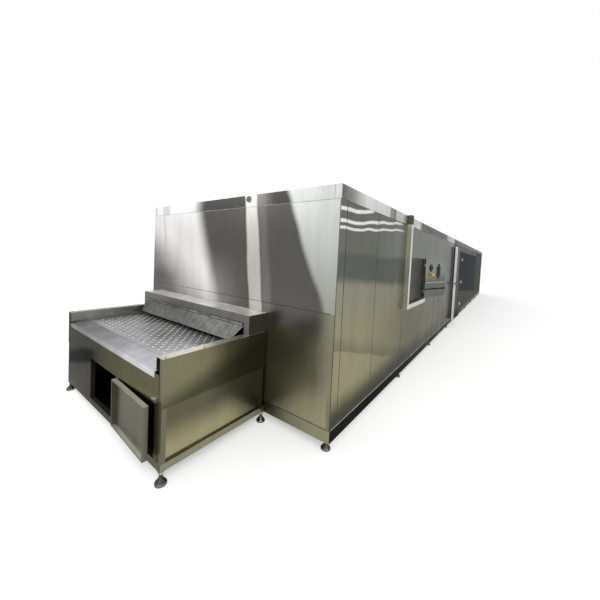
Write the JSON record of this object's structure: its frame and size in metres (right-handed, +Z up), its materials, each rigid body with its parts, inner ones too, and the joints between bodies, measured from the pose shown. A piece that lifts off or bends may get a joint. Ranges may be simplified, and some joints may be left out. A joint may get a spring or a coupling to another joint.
{
  "type": "tunnel freezer",
  "caption": "Insulated stainless tunnel housing with a plate belt through it, an infeed and an outfeed table, a hinged access door, a service hatch and a control cabinet.",
  "frame": {"origin": "middle of the footprint, at floor level", "axes": "+Y along the belt from infeed to outfeed, +X to the control side, +Z up"},
  "size_m": [3.2395, 18.2136, 2.2485],
  "materials": {
    "panel_steel": "fine brushed stainless sheet, nearly mirror",
    "skirt_steel": "dull stainless channel",
    "table_steel": "brushed stainless sheet",
    "belt_steel": "dimpled stainless plate",
    "frame_steel": "satin stainless tube",
    "wear_plastic": "white low-friction plastic",
    "gasket_rubber": "black door seal",
    "foot_steel": "turned steel",
    "dark_cover": "smoked gloss panel",
    "black_plastic": "moulded black plastic",
    "display_black": "dark display window",
    "lamp_lens": "clear and green lamp lenses",
    "stop_yellow": "yellow plate with a dark red head"
  },
  "bodies": {
    "root": {"base_skirt": "skirt_steel", "bed_legs": "frame_steel", "belt_bed": "frame_steel", "cabinet_cover": "dark_cover", "cabinet_hinges": "frame_steel", "cable_duct": "frame_steel", "control_cabinet": "panel_steel", "conveyor_belt": "belt_steel", "corner_angles": "panel_steel", "door_frame": "frame_steel", "door_hinges": "frame_steel", "door_strike": "black_plastic", "doorway_sill_lintel": "panel_steel", "duct_cap": "black_plastic", "end_rollers": "frame_steel", "front_wall": "panel_steel", "hatch_hinges": "frame_steel", "housing_floor": "skirt_steel", "infeed_apron": "table_steel", "infeed_drip_tray": "frame_steel", "infeed_end_panel": "table_steel", "infeed_flap": "table_steel", "infeed_frame": "frame_steel", "infeed_hood": "table_steel", "infeed_side_guards": "table_steel", "infeed_side_panels": "table_steel", "left_wall": "panel_steel", "levelling_feet": "foot_steel", "outfeed_apron": "table_steel", "outfeed_drip_tray": "frame_steel", "outfeed_end_panel": "table_steel", "outfeed_frame": "frame_steel", "outfeed_hood": "table_steel", "outfeed_side_guards": "table_steel", "outfeed_side_panels": "table_steel", "rear_wall": "panel_steel", "right_wall_control_bay": "panel_steel", "right_wall_front": "panel_steel", "right_wall_middle": "panel_steel", "right_wall_rear": "panel_steel", "roller_bearings": "frame_steel", "roof": "panel_steel", "roof_trim": "panel_steel", "vent_plug": "black_plastic", "wear_strips": "wear_plastic"},
    "access_door": {"door_leaf": "panel_steel", "door_gasket": "gasket_rubber", "door_handle": "black_plastic"},
    "hatch": {"infeed_hatch": "table_steel"},
    "control_panel": {"control_door": "panel_steel", "signal_lamps": "lamp_lens", "rotary_knobs": "black_plastic", "stop_button": "stop_yellow", "display_panels": "display_black", "door_lock": "frame_steel"}
  },
  "joints": [
    {"name": "access_door_hinge", "type": "hinge", "parent": "root", "child": "access_door", "pos_m": [1.48138, -0.96318, 1.126], "axis": [0, 0, 1], "range_deg": [0, 110]},
    {"name": "hatch_hinge", "type": "hinge", "parent": "root", "child": "hatch", "pos_m": [-0.09762, -9.05718, 0.351], "axis": [0, 0, -1], "range_deg": [-2.5, 107.5]},
    {"name": "control_panel_hinge", "type": "hinge", "parent": "root", "child": "control_panel", "pos_m": [1.41238, -5.07818, 1.37], "axis": [0, 0, -1], "range_deg": [-14, 96]}
  ]
}
